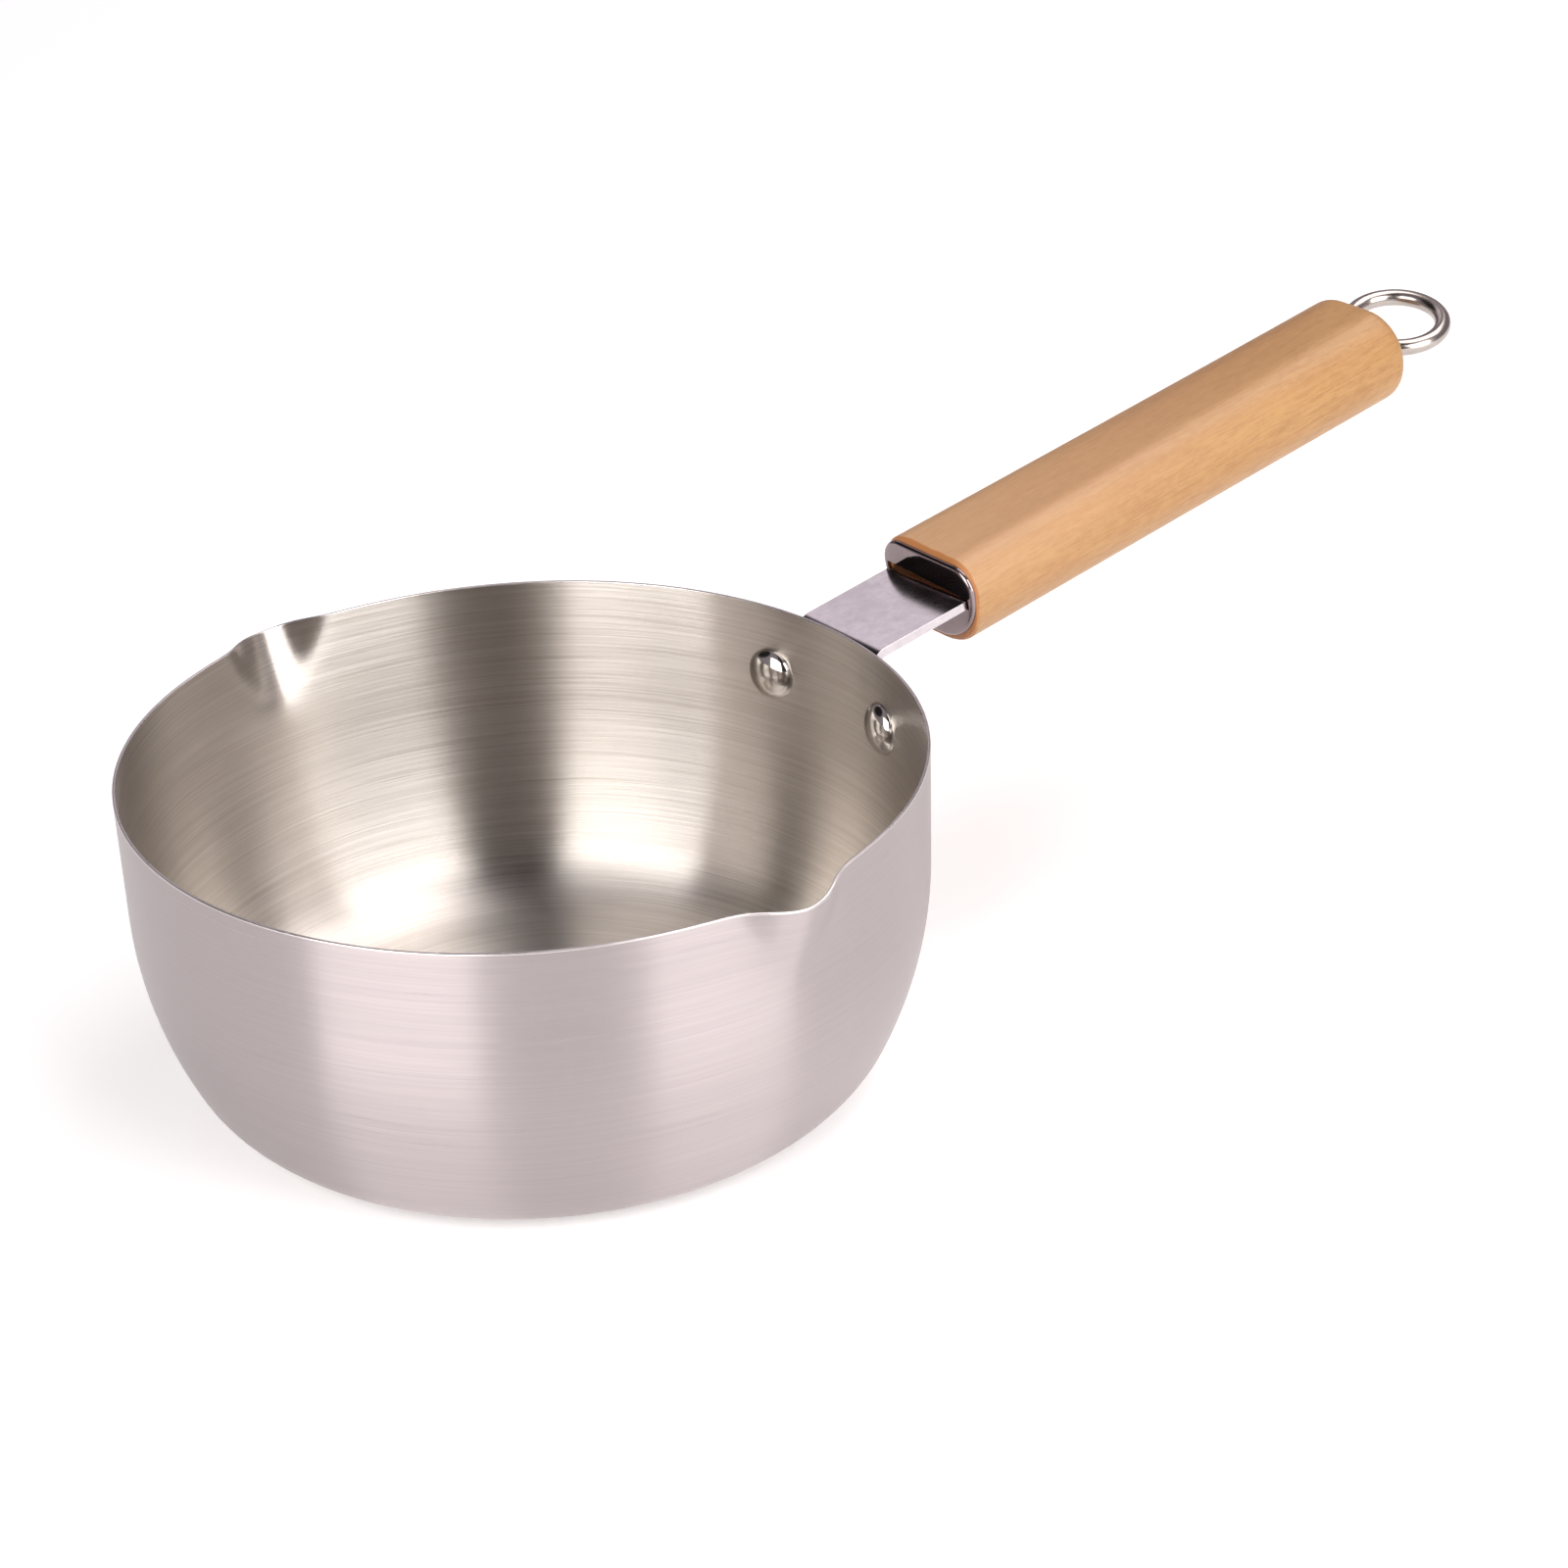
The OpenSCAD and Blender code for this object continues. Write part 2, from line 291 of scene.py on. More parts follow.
def bowl_materials(outer_rows, edge_rows, rows, columns):
    """Material numbers of the bowl's faces: 0 outside, 1 inside and 2 on the cut edge."""
    numbers = []
    for row in range(rows - 1):
        number = 1
        if row < outer_rows:
            number = 0
        elif row < outer_rows + edge_rows + 1:
            number = 2
        numbers += [number] * columns
    return numbers + [0] * columns + [1] * columns


def build_bowl():
    """Pressed bowl as one closed sheet with a rounded cut edge, and a map for its brushing."""
    outline, angles = bowl_outline(), bowl_angles()
    outside = bowl_surface(outline, angles)
    normal, up = surface_normals(outside)
    inside = outside - SHEET * normal
    edge = cut_edge(outside[-1], inside[-1], normal[-1], up[-1])
    sheet = np.concatenate([outside, edge, inside[::-1]])
    rows, columns = sheet.shape[:2]
    points = list(sheet.reshape(-1, 3))
    points += [(0, 0, 0), (0, 0, SHEET)]
    faces = lattice_faces(rows, columns, wrap=True)
    faces += fan(list(range(columns)), rows * columns, flip=True)
    last = (rows - 1) * columns
    faces += fan(list(range(last, last + columns)), rows * columns + 1, flip=False)
    bowl = new_piece("bowl", points, faces)
    run = np.concatenate([[0], np.cumsum(np.linalg.norm(np.diff(outline, axis=0), axis=1))])
    along = np.concatenate([run, np.full(len(edge), run[-1]), run[::-1]])
    map_brushing(bowl, angles, along, rows, columns)
    numbers = bowl_materials(len(outline) - 1, len(edge), rows, columns)
    bowl.data.polygons.foreach_set("material_index", numbers)
    return bowl


def map_brushing(bowl, angles, along, rows, columns):
    """UV map: U runs round the bowl with the brushing, V up the outline in metres."""
    layer = bowl.data.uv_layers.new(name="brushing")
    uvs = np.zeros((len(bowl.data.loops), 2))
    turns = (angles - angles[0]) / (2 * math.pi)
    for face in bowl.data.polygons:
        loops = list(face.loop_indices)
        cols = [bowl.data.loops[i].vertex_index % columns for i in loops]
        wraps = max(cols) - min(cols) > columns / 2
        for i, col in zip(loops, cols):
            vertex = bowl.data.loops[i].vertex_index
            if vertex >= rows * columns:
                others = [c for c, j in zip(cols, loops) if bowl.data.loops[j].vertex_index != vertex]
                uvs[i] = (turns[min(others)], 0)
                continue
            u = turns[col] + (1 if wraps and col < columns / 2 else 0)
            uvs[i] = (u, along[vertex // columns])
    layer.data.foreach_set("uv", uvs.ravel())


# ======== bracket ========

def strap_rows():
    """Distances along the bracket's blank, from the foot of the flange to the end of the tang."""
    quarter = math.pi / 2
    low_corner = [FLANGE_CORNER * (1 - math.cos(a)) for a in np.linspace(0, quarter, 9)]
    top_corner = [FLANGE_H - d for d in low_corner]
    plain = list(np.linspace(FLANGE_CORNER, FLANGE_H - FLANGE_CORNER, 8)[1:-1])
    fillet = [FLANGE_H + FILLET * math.sin(a) for a in np.linspace(0, quarter, 6)[1:]]
    bend_len = (BEND_R + PLATE_T / 2) * (quarter - TILT)
    bend_start = FLANGE_H + LEG
    strap_start = bend_start + bend_len
    bend = list(np.linspace(bend_start, strap_start, 12))
    tang = strap_start + (NOTCH_START - strap_bend_end())
    end = strap_start + (TANG_END - strap_bend_end())
    strap = list(np.linspace(strap_start, tang, 20)[1:]) + list(np.linspace(tang, end, 6)[1:])
    rows = low_corner + plain + top_corner + fillet + bend + strap
    return sorted({round(float(v), 7) for v in rows})


def strap_bend_end():
    """Where the bend ends and the flat strap begins, along the handle."""
    out = BEND_R + PLATE_T
    return (out - out * math.sin(TILT)) / math.cos(TILT)


def flange_half(v):
    """Half of the flange's width at a distance from its foot."""
    near = min(v, FLANGE_H - v)
    if near >= FLANGE_CORNER:
        return FLANGE_W / 2
    round_part = math.sqrt(max(FLANGE_CORNER ** 2 - (FLANGE_CORNER - near) ** 2, 0))
    return FLANGE_W / 2 - FLANGE_CORNER + round_part


def strap_half(v):
    """Half of the strap's width at a distance from the flange's foot, fillet included."""
    past = v - FLANGE_H
    if past <= 0:
        return STRAP_W / 2 + FILLET
    if past >= FILLET:
        return STRAP_W / 2
    return STRAP_W / 2 + FILLET - math.sqrt(FILLET ** 2 - (FILLET - past) ** 2)


def bracket_point(u, v):
    """A point of the blank's middle surface after it is rolled and bent, with its normal."""
    out = BEND_R + PLATE_T
    middle_r = BEND_R + PLATE_T / 2
    bend_x = RIM_R + out
    bend_z = STRAP_TOP + strap_bend_end() * math.sin(TILT) - out * math.cos(TILT)
    bend_v = FLANGE_H + LEG
    bend_len = middle_r * (math.pi / 2 - TILT)
    if v <= bend_v:
        return rolled_point(u, v, bend_z - (bend_v - v), bend_v)
    turn = min(v - bend_v, bend_len) / middle_r
    normal = Vector((math.cos(turn), 0, -math.sin(turn)))
    point = Vector((bend_x, u, bend_z)) - middle_r * normal
    past = max(v - bend_v - bend_len, 0)
    return point + past * Vector((math.sin(turn), 0, math.cos(turn))), normal


def rolled_point(u, v, z, bend_v):
    """A point of the flange, rolled to the wall and eased flat where the bend starts."""
    ease = 7 * MM
    r = RIM_R - (RIM_Z - z) * math.tan(WALL_LEAN) + PLATE_T / 2
    turn = u / r
    rolled = Vector((r * math.cos(turn), r * math.sin(turn), z))
    rolled_n = Vector((math.cos(turn), math.sin(turn), 0))
    flat = Vector((RIM_R + PLATE_T / 2, u, z))
    blend = float(smoothstep(v, bend_v - ease, bend_v))
    blend *= 1 - float(smoothstep(abs(u), STRAP_W / 2 + FILLET, STRAP_W / 2 + 2.5 * FILLET))
    return rolled.lerp(flat, blend), rolled_n.lerp(Vector((1, 0, 0)), blend).normalized()


def bracket_places(rows):
    """Places on the flat blank by key: (row, column) in the strap, (row, side, step) in a wing."""
    inner = [NOTCH_W * (k / NOTCH_STEPS - 0.5) for k in range(NOTCH_STEPS + 1)]
    shares = [k / STRAP_SIDE_STEPS for k in range(1, STRAP_SIDE_STEPS + 1)]
    places = {}
    for i, v in enumerate(rows):
        half = strap_half(v)
        left = [-(NOTCH_W / 2 + (half - NOTCH_W / 2) * s) for s in shares[::-1]]
        right = [NOTCH_W / 2 + (half - NOTCH_W / 2) * s for s in shares]
        for j, u in enumerate(left + inner + right):
            places[i, j] = (u, v)
        if v > FLANGE_H + TINY:
            continue
        wide = flange_half(v)
        for side in (-1, 1):
            for k in range(1, WING_STEPS + 1):
                places[i, side, k] = (side * (half + (wide - half) * k / WING_STEPS), v)
    return places


def bracket_faces(rows, index):
    """Quads of the blank between its places, with the notch left open."""
    notch_v = rows[-1] - (TANG_END - NOTCH_START)
    columns = 2 * STRAP_SIDE_STEPS + NOTCH_STEPS + 1
    faces = []
    for i in range(len(rows) - 1):
        for j in range(columns - 1):
            in_notch = STRAP_SIDE_STEPS <= j < STRAP_SIDE_STEPS + NOTCH_STEPS
            if not (in_notch and rows[i] >= notch_v - TINY):
                faces.append((index[i, j], index[i, j + 1], index[i + 1, j + 1], index[i + 1, j]))
        if rows[i + 1] > FLANGE_H + TINY:
            continue
        for side, edge in ((-1, 0), (1, columns - 1)):
            for k in range(WING_STEPS):
                a = (i, edge) if k == 0 else (i, side, k)
                b = (i + 1, edge) if k == 0 else (i + 1, side, k)
                quad = [index[a], index[i, side, k + 1], index[i + 1, side, k + 1], index[b]]
                faces.append(tuple(quad if side > 0 else quad[::-1]))
    return faces


def build_bracket():
    """Flange, bend, strap and notched tang cut from one plate and bent."""
    rows = strap_rows()
    places = bracket_places(rows)
    index = {key: number for number, key in enumerate(places)}
    bent = [bracket_point(u, v) for u, v in places.values()]
    faces = bracket_faces(rows, index)
    bracket = new_piece("bracket", *thicken([b[0] for b in bent], [b[1] for b in bent], faces, PLATE_T))
    soften(bracket, CUT_ROUND)
    return bracket


def thicken(points, normals, faces, thickness):
    """Closed plate from a middle surface: both faces and the cut edge between them."""
    count = len(points)
    both = [p + n * (thickness / 2) for p, n in zip(points, normals)]
    both += [p - n * (thickness / 2) for p, n in zip(points, normals)]
    edges = {}
    for face in faces:
        for a, b in zip(face, face[1:] + face[:1]):
            edges[a, b] = edges.get((a, b), 0) + 1
    closed = list(faces) + [tuple(v + count for v in face[::-1]) for face in faces]
    for a, b in edges:
        if (b, a) not in edges:
            closed.append((b, a, a + count, b + count))
    return both, closed


def soften(piece, width):
    """Rounds the sharp edges of a piece a little."""
    recalculate(piece)
    bevel = piece.modifiers.new("rounded edges", "BEVEL")
    bevel.width = width
    bevel.segments = 3
    bevel.limit_method = "ANGLE"
    bevel.angle_limit = math.radians(50)
    bevel.harden_normals = True
    bevel.use_clamp_overlap = True


# ======== rivets ========

def revolve(name, profile, place, steps=RIVET_STEPS):
    """Closed solid turned about X from (distance, radius) pairs that start and end on the axis."""
    ring = profile[1:-1]
    points = []
    for x, r in ring:
        for k in range(steps):
            turn = 2 * math.pi * k / steps
            points.append((x, r * math.cos(turn), r * math.sin(turn)))
    points += [(profile[0][0], 0, 0), (profile[-1][0], 0, 0)]
    faces = lattice_faces(len(ring), steps, wrap=True)
    total = len(ring) * steps
    faces += fan(list(range(steps)), total, flip=True)
    faces += fan(list(range(total - steps, total)), total + 1, flip=False)
    piece = new_piece(name, points, faces, place)
    recalculate(piece)
    return piece


def dome(base, height, radius, outwards):
    """Profile of an oval dome from its top to its foot, which sinks a little into the wall."""
    rows = []
    for k in range(1, DOME_STEPS + 1):
        turn = math.pi / 2 * k / DOME_STEPS
        rows.append((base + outwards * height * math.cos(turn), radius * math.sin(turn)))
    rows.append((base - outwards * SUNK, radius))
    return rows


def build_rivet(name, side):
    """Rivet with a polished dome inside the bowl and a set end outside."""
    wall = RIM_R - (RIM_Z - RIVET_Z) * math.tan(WALL_LEAN)
    inner, outer = wall - SHEET, wall + PLATE_T
    head = dome(inner, HEAD_H, HEAD_R, -1)
    tail = dome(outer, TAIL_H, TAIL_R, 1)
    profile = [(inner - HEAD_H, 0)] + head + [(inner + SUNK, SHANK_R)]
    profile += [(outer - SUNK, SHANK_R)] + tail[::-1] + [(outer + TAIL_H, 0)]
    place = Matrix.Rotation(side * RIVET_TURN, 4, "Z") @ Matrix.Translation((0, 0, RIVET_Z))
    return revolve(name, profile, place)


# ======== end plate and grip ========

def section(width, height, top_r, low_r):
    """Outline of a flat-sided section with one radius on top and one below, anticlockwise."""
    hw, hh = width / 2, height / 2
    quarter = math.pi / 2
    points = arc_points((hw - top_r, hh - top_r), top_r, 0, quarter, SECTION_STEPS)
    points += arc_points((top_r - hw, hh - top_r), top_r, quarter, 2 * quarter, SECTION_STEPS)
    points += arc_points((low_r - hw, low_r - hh), low_r, 2 * quarter, 3 * quarter, SECTION_STEPS)
    points += arc_points((hw - low_r, low_r - hh), low_r, 3 * quarter, 4 * quarter, SECTION_STEPS)
    return points


def resample(outline, count):
    """Evenly spaced points round a closed outline."""
    loop = np.array(list(outline) + [outline[0]])
    run = np.concatenate([[0], np.cumsum(np.linalg.norm(np.diff(loop, axis=0), axis=1))])
    marks = np.linspace(0, run[-1], count, endpoint=False)
    return np.stack([np.interp(marks, run, loop[:, k]) for k in (0, 1)], axis=1)


def inset_loop(loop, distance):
    """Moves a closed outline inwards."""
    ahead = np.roll(loop, -1, axis=0) - np.roll(loop, 1, axis=0)
    normal = np.stack([ahead[:, 1], -ahead[:, 0]], axis=1)
    normal /= np.linalg.norm(normal, axis=1, keepdims=True)
    return loop - normal * distance


def slot_loop(outer, low, high, half, taper):
    """Points of a slot's edge, one for each point of the outline round it; its top may slope."""
    middle = (low + high) / 2
    points = []
    for y, z in outer:
        reach = max(abs(y) / half, abs(z - middle) / ((high - low) / 2), TINY)
        ny, nz = y / reach, middle + (z - middle) / reach
        if nz > middle:
            nz += taper * ny / half
        points.append((ny, nz))
    return np.array(points)


def loft(name, loops, place, wrap_ends=False):
    """Closed solid through loops of (x, outline) pairs; the end loops are filled, or joined."""
    count = len(loops[0][1])
    points = [(x, y, z) for x, loop in loops for y, z in loop]
    faces = lattice_faces(len(loops), count, wrap=True)
    last = (len(loops) - 1) * count
    if wrap_ends:
        faces += [(last + k, last + (k + 1) % count, (k + 1) % count, k) for k in range(count)]
    else:
        faces += [tuple(range(count))[::-1], tuple(range(last, last + count))]
    piece = new_piece(name, points, faces, place)
    recalculate(piece)
    return piece


def build_end_plate():
    """Pressed plate with a turned edge and a slot that the strap goes through."""
    outline = [(y, z + PLATE_MID) for y, z in section(PLATE_W, PLATE_H, PLATE_TOP_R, PLATE_LOW_R)]
    outer = resample(outline, PLATE_POINTS)
    back_x, lip = PLATE_START + PLATE_DEPTH, 0.05 * MM
    rim = inset_loop(outer, PLATE_EDGE)
    back = inset_loop(outer, PLATE_SHEET)
    hole = slot_loop(rim, -PLATE_T - SLOT_LOW, SLOT_GAP, STRAP_W / 2 + SLOT_SIDE, SLOT_TAPER)
    loops = [(back_x, back), (back_x, outer)]
    for turn in np.linspace(0, math.pi / 2, 7):
        x = PLATE_START + PLATE_EDGE * (1 - math.sin(turn))
        loops.append((x, inset_loop(outer, PLATE_EDGE * (1 - math.cos(turn)))))
    for share in (0.35, 0.7, 0.97):
        loops.append((PLATE_START, rim * (1 - share) + hole * share))
    loops.append((PLATE_START + lip, hole))
    loops.append((PLATE_START + PLATE_SHEET, hole))
    for share in (0.6, 0.3):
        loops.append((PLATE_START + PLATE_SHEET, back * (1 - share) + hole * share))
    loops.append((PLATE_START + PLATE_SHEET, back))
    return loft("end_plate", loops, HANDLE, wrap_ends=True)


def grip_outlines():
    """Outlines of the wood at its front and at its far end."""
    near = section(GRIP_W, GRIP_H - GRIP_FALL, FRONT_TOP_R, GRIP_LOW_R)
    near = [(y, z + GRIP_MID - GRIP_FALL / 2) for y, z in near]
    far = [(y, z + GRIP_MID) for y, z in section(GRIP_W, GRIP_H, GRIP_TOP_R, GRIP_LOW_R)]
    return resample(near, GRIP_POINTS), resample(far, GRIP_POINTS)


def build_grip():
    """Wooden grip, a little lower in front, with a rounded far end and the tang's saw slot."""
    near, far = grip_outlines()
    end = GRIP_START + GRIP_LEN
    slot_end = TANG_END + 2 * MM
    ease = 0.3 * MM

    def outline_at(x):
        share = (x - GRIP_START) / GRIP_LEN
        return near * (1 - share) + far * share

    front = inset_loop(near, FRONT_INSET)
    hole = slot_loop(front, -PLATE_T - SAW_LOW, SLOT_GAP, STRAP_W / 2 + SAW_SIDE, SLOT_TAPER)
    loops = [(slot_end, hole), (GRIP_START + ease, hole)]
    for share in (0.01, 0.3, 0.6, 0.9):
        loops.append((GRIP_START, hole * (1 - share) + front * share))
    for share in (0, 0.1, 0.5, 0.9, 1):
        loops.append((GRIP_START + FRONT_LEN * share, inset_loop(near, FRONT_INSET * (1 - share))))
    for x in np.linspace(GRIP_START + FRONT_LEN + ease, end - END_ROUND - 2 * MM, GRIP_ROWS):
        loops.append((x, outline_at(x)))
    for turn in np.linspace(0, math.pi / 2, 12):
        x = end - END_ROUND * (1 - math.sin(turn))
        loops.append((x, inset_loop(outline_at(x), END_ROUND * (1 - math.cos(turn)))))
    cap = inset_loop(outline_at(end), END_ROUND)
    centre = cap.mean(axis=0)
    for share in (0.25, 0.5, 0.75, 0.95):
        loops.append((end, cap * (1 - share) + centre * share))
    return loft("grip", loops, HANDLE)


# ======== tie bolt and nut ========

def build_eye():
    """Eye of round wire in a plane rolled about the handle."""
    points = []
    for k in range(EYE_STEPS):
        a = 2 * math.pi * k / EYE_STEPS
        out = Vector((math.cos(a), math.sin(a), 0))
        for step in range(WIRE_STEPS):
            b = 2 * math.pi * step / WIRE_STEPS
            ring = out * (EYE_R + WIRE_R * math.cos(b))
            points.append(Vector((EYE_S, 0, 0)) + ring + Vector((0, 0, WIRE_R * math.sin(b))))
    faces = lattice_faces(EYE_STEPS, WIRE_STEPS, wrap=True)
    last = (EYE_STEPS - 1) * WIRE_STEPS
    for step in range(WIRE_STEPS):
        ahead = (step + 1) % WIRE_STEPS
        faces.append((last + step, last + ahead, ahead, step))
    place = HANDLE @ Matrix.Translation((0, 0, BOLT_AXIS + EYE_RISE))
    eye = new_piece("hanging_eye", points, faces, place @ Matrix.Rotation(EYE_ROLL, 4, "X"))
    recalculate(eye)
    return eye


def build_bolt():
    """Shank of the tie bolt, from the nut inside the wood to the eye."""
    start, end = NOTCH_START + 1 * MM, EYE_S - EYE_R
    chamfer = 0.4 * MM
    profile = [(start, 0), (start, BOLT_R * 0.8), (start + chamfer, BOLT_R), (end, BOLT_R), (end, 0)]
    place = HANDLE @ Matrix.Translation((0, 0, BOLT_AXIS)) @ Matrix.Rotation(EYE_ROLL, 4, "X")
    return revolve("tie_bolt", profile, place, WIRE_STEPS)


# ======== materials ========

class Nodes:
    """Short calls for building one material's node tree."""

    def __init__(self, name):
        self.material = bpy.data.materials.new(name)
        self.material.use_nodes = True
        self.tree = self.material.node_tree
        self.shader = self.tree.nodes["Principled BSDF"]

    def link(self, source, target):
        self.tree.links.new(source, target)

    def set(self, **values):
        for key, value in values.items():
            self.shader.inputs[key.replace("_", " ")].default_value = value

    def math(self, operation, a, b):
        node = self.tree.nodes.new("ShaderNodeMath")
        node.operation = operation
        for socket, value in zip(node.inputs, (a, b)):
            if isinstance(value, (int, float)):
                socket.default_value = value
            else:
                self.link(value, socket)
        return node.outputs[0]

    def noise(self, vector, scale, detail=2, rough=0.5, distortion=0.0):
        node = self.tree.nodes.new("ShaderNodeTexNoise")
        node.inputs["Scale"].default_value = scale
        node.inputs["Detail"].default_value = detail
        node.inputs["Roughness"].default_value = rough
        node.inputs["Distortion"].default_value = distortion
        self.link(vector, node.inputs["Vector"])
        return node.outputs[0]

    def stretched(self, vector, x, y, z):
        node = self.tree.nodes.new("ShaderNodeMapping")
        node.vector_type = "POINT"
        node.inputs["Scale"].default_value = (x, y, z)
        self.link(vector, node.inputs["Vector"])
        return node.outputs[0]

    def remap(self, value, low, high, to_low, to_high, smooth=False):
        node = self.tree.nodes.new("ShaderNodeMapRange")
        node.interpolation_type = "SMOOTHSTEP" if smooth else "LINEAR"
        self.link(value, node.inputs["Value"])
        limits = {"From Min": low, "From Max": high, "To Min": to_low, "To Max": to_high}
        for key, number in limits.items():
            node.inputs[key].default_value = number
        return node.outputs[0]

    def mix(self, factor, a, b):
        node = self.tree.nodes.new("ShaderNodeMix")
        node.data_type = "RGBA"
        for socket, value in ((node.inputs[0], factor), (node.inputs[6], a), (node.inputs[7], b)):
            if isinstance(value, (int, float, tuple)):
                socket.default_value = value
            else:
                self.link(value, socket)
        return node.outputs[2]

    def bump(self, height, distance, base=None):
        node = self.tree.nodes.new("ShaderNodeBump")
        node.inputs["Strength"].default_value = 1.0
        node.inputs["Distance"].default_value = distance
        self.link(height, node.inputs["Height"])
        if base is not None:
            self.link(base, node.inputs["Normal"])
        return node.outputs[0]

    def object_vector(self):
        return self.tree.nodes.new("ShaderNodeTexCoord").outputs["Object"]

    def parts(self, vector):
        """The X, Y and Z of a vector."""
        node = self.tree.nodes.new("ShaderNodeSeparateXYZ")
        self.link(vector, node.inputs[0])
        return node.outputs


def rgba(red, green, blue):
    return (red, green, blue, 1.0)


def brushing_vector(n):
    """Place on the sheet as round the axis by X and Y, and up the outline with a slight drift."""
    uv = n.tree.nodes.new("ShaderNodeUVMap")
    uv.uv_map = "brushing"
    up = n.parts(uv.outputs[0])[1]
    x, y, _ = n.parts(n.object_vector())
    drift = n.noise(n.object_vector(), 26, 2)
    join = n.tree.nodes.new("ShaderNodeCombineXYZ")
    n.link(x, join.inputs[0])
    n.link(y, join.inputs[1])
    n.link(n.math("ADD", up, n.math("MULTIPLY", drift, 1.2 * MM)), join.inputs[2])
    return join.outputs[0]


def brushed_sheet(name, colour, dark, rough, grain):
    """Steel brushed round the bowl's axis: long fine scratches and a wide vertical gloss."""
    n = Nodes(name)
    n.set(Metallic=1.0, Anisotropic=1.0, Anisotropic_Rotation=0.25)
    spread = brushing_vector(n)
    fine = n.noise(n.stretched(spread, 22, 22, 2600), 1, 3, 0.6)
    wide = n.noise(n.stretched(spread, 14, 14, 700), 1, 2, 0.55)
    marks = n.noise(n.stretched(spread, 30, 30, 1500), 1, 1, 0.4)
    tone = n.math("ADD", n.math("MULTIPLY", fine, 0.8), n.math("MULTIPLY", wide, 0.2))
    base = n.mix(n.remap(tone, 0.36, 0.64, 0, 1), dark, colour)
    scratch = n.math("MULTIPLY", n.remap(marks, 0.68, 0.78, 0, 0.5, smooth=True), grain)
    base = n.mix(scratch, base, rgba(dark[0] * 0.8, dark[1] * 0.78, dark[2] * 0.75))
    n.link(base, n.shader.inputs["Base Color"])
    n.link(n.remap(tone, 0.3, 0.7, rough - 0.03, rough + 0.04), n.shader.inputs["Roughness"])
    tangent = n.tree.nodes.new("ShaderNodeTangent")
    tangent.direction_type = "UV_MAP"
    tangent.uv_map = "brushing"
    n.link(tangent.outputs[0], n.shader.inputs["Tangent"])
    depth = 0.06 * MM
    waves = n.bump(n.noise(n.object_vector(), 24, 1), depth)
    n.link(n.bump(tone, depth * grain, base=waves), n.shader.inputs["Normal"])
    return n.material


def polished(name, colour, rough, cloud, worn=0.88):
    """Polished or plated steel with faint clouds, rubbed patches and hairline marks."""
    n = Nodes(name)
    n.set(Metallic=1.0)
    vector = n.object_vector()
    clouds = n.noise(vector, 90, 3)
    rubbed = n.noise(vector, 420, 4, 0.65)
    marks = n.noise(n.stretched(vector, 60, 900, 900), 1, 3)
    patchy = n.math("ADD", n.math("MULTIPLY", clouds, 0.6), n.math("MULTIPLY", rubbed, 0.4))
    darker = rgba(*(c * worn for c in colour[:3]))
    n.link(n.mix(n.remap(patchy, 0.4, 0.6, 0, 1), darker, colour), n.shader.inputs["Base Color"])
    n.link(n.remap(clouds, 0.3, 0.7, rough, rough + cloud), n.shader.inputs["Roughness"])
    height = n.math("ADD", clouds, n.math("MULTIPLY", marks, 0.3))
    n.link(n.bump(height, 0.02 * MM), n.shader.inputs["Normal"])
    return n.material


def beech_ground(n, vector):
    """Honey ground with broad bands, thin fibres along the grip, pale mottling and dark flecks."""
    light, honey, amber = rgba(0.385, 0.212, 0.070), rgba(0.345, 0.172, 0.050), rgba(0.245, 0.098, 0.028)
    bands = n.noise(n.stretched(vector, 10, 90, 90), 1, 3, 0.55, 0.3)
    fibres = n.noise(n.stretched(vector, 130, 2400, 2400), 1, 3, 0.6)
    mottle = n.noise(n.stretched(vector, 420, 800, 800), 1, 3, 0.6)
    patches = n.noise(n.stretched(vector, 18, 60, 60), 1, 2)
    base = n.mix(n.remap(bands, 0.3, 0.7, 0, 1), honey, light)
    base = n.mix(n.remap(patches, 0.5, 0.8, 0, 0.4), base, amber)
    base = n.mix(n.remap(fibres, 0.42, 0.64, 0, 0.5), base, amber)
    base = n.mix(n.remap(mottle, 0.42, 0.62, 0, 0.2), base, rgba(0.47, 0.28, 0.12))
    flecks = n.tree.nodes.new("ShaderNodeTexVoronoi")
    n.link(n.stretched(vector, 260, 1900, 1900), flecks.inputs["Vector"])
    flecks.inputs["Scale"].default_value = 1
    spots = n.remap(flecks.outputs["Distance"], 0.12, 0.3, 1, 0, smooth=True)
    rare = n.noise(n.stretched(vector, 120, 400, 400), 1, 1)
    rare = n.remap(rare, 0.46, 0.60, 0, 0.5, smooth=True)
    return n.mix(n.math("MULTIPLY", spots, rare), base, rgba(0.25, 0.10, 0.035)), fibres


